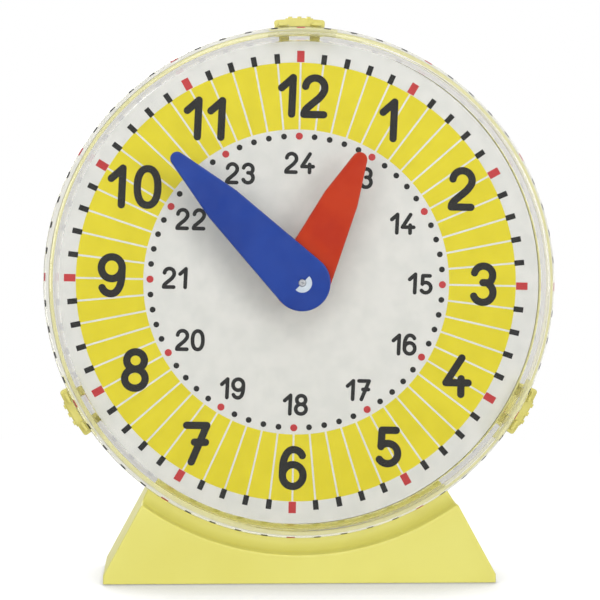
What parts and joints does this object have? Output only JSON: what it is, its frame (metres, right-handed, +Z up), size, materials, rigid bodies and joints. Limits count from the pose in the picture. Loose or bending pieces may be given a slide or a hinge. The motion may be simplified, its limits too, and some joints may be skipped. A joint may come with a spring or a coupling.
{
  "type": "geared teaching clock",
  "caption": "Round demonstration clock on a saddle stand, with a clear clipped-on cover, printed dial and two outside hands joined by a gear train.",
  "frame": {"origin": "on the table, under the middle of the clock's width and of its whole depth", "axes": "+Z up; +X to the right as the dial is read; the dial faces -Y, so +Y points to the back"},
  "size_m": [0.3112, 0.0598, 0.3449],
  "materials": {
    "yellow_shell": "injection-moulded yellow polystyrene, satin to gloss",
    "yellow_catch": "injection-moulded yellow plastic, glossy",
    "yellow_stand": "moulded pale yellow polystyrene, fine satin",
    "clear_cover": "clear injection-moulded styrene, polished",
    "white_tray": "white moulded polystyrene, satin",
    "printed_card": "screen-printed white card with plain numbers, matt",
    "blue_hand": "blue moulded ABS, fine satin",
    "red_hand": "red moulded ABS, fine satin",
    "white_arbor": "white acetal, as moulded",
    "gear_plastic": "natural acetal, as moulded",
    "grey_plate": "grey ABS, as moulded",
    "steel": "turned bright steel",
    "zinc_screw": "zinc-plated steel",
    "foot_rubber": "soft matt rubber pad"
  },
  "bodies": {
    "case_and_stand": {"back_shell": "yellow_shell", "clear_front_cover": "clear_cover", "dial_tray": "white_tray", "dial_card": "printed_card", "front_bush": "white_arbor", "centre_post": "steel", "friction_spring_washer": "steel", "intermediate_stud": "steel", "stud_circlip": "steel", "gear_plate": "grey_plate", "gear_plate_screws": "zinc_screw", "stand_lid_screws": "zinc_screw", "saddle_screws": "zinc_screw", "saddle_washers": "zinc_screw", "centre_post_nut": "zinc_screw", "stand_shell": "yellow_stand", "stand_base_plate": "yellow_stand", "foot_pads": "foot_rubber"},
    "minute_train": {"minute_hand": "blue_hand", "minute_cannon": "white_arbor", "minute_pinion": "gear_plastic", "hand_spacer_washer": "white_arbor"},
    "intermediate_train": {"intermediate_wheel": "gear_plastic", "intermediate_pinion": "gear_plastic"},
    "hour_train": {"hour_hand": "red_hand", "hour_pipe": "white_arbor", "hour_wheel": "gear_plastic", "hour_hand_washer": "white_arbor"},
    "top_catch": {"catch_top": "yellow_catch"},
    "lower_left_catch": {"catch_lower_left": "yellow_catch"},
    "lower_right_catch": {"catch_lower_right": "yellow_catch"}
  },
  "joints": [
    {"name": "minute_turn", "type": "hinge", "parent": "case_and_stand", "child": "minute_train", "pos_m": [0, 0.0109, 0.183], "axis": [0, 1, 0], "continuous": true},
    {"name": "intermediate_turn", "type": "hinge", "parent": "case_and_stand", "child": "intermediate_train", "pos_m": [0, 0.0109, 0.1455], "axis": [0, 1, 0], "continuous": true},
    {"name": "hour_turn", "type": "hinge", "parent": "case_and_stand", "child": "hour_train", "pos_m": [0, 0.0109, 0.183], "axis": [0, 1, 0], "continuous": true},
    {"name": "top_catch_slide", "type": "hinge", "parent": "case_and_stand", "child": "top_catch", "pos_m": [0, 0.0109, 0.183], "axis": [0, 1, 0], "range_deg": [0, 1.6]},
    {"name": "lower_left_catch_slide", "type": "hinge", "parent": "case_and_stand", "child": "lower_left_catch", "pos_m": [0, 0.0109, 0.183], "axis": [0, 1, 0], "range_deg": [0, 1.6]},
    {"name": "lower_right_catch_slide", "type": "hinge", "parent": "case_and_stand", "child": "lower_right_catch", "pos_m": [0, 0.0109, 0.183], "axis": [0, 1, 0], "range_deg": [0, 1.6]}
  ],
  "couplings": [
    {"joint": "intermediate_turn", "follows": "minute_turn", "ratio": -0.33333},
    {"joint": "hour_turn", "follows": "minute_turn", "ratio": 0.083333}
  ]
}
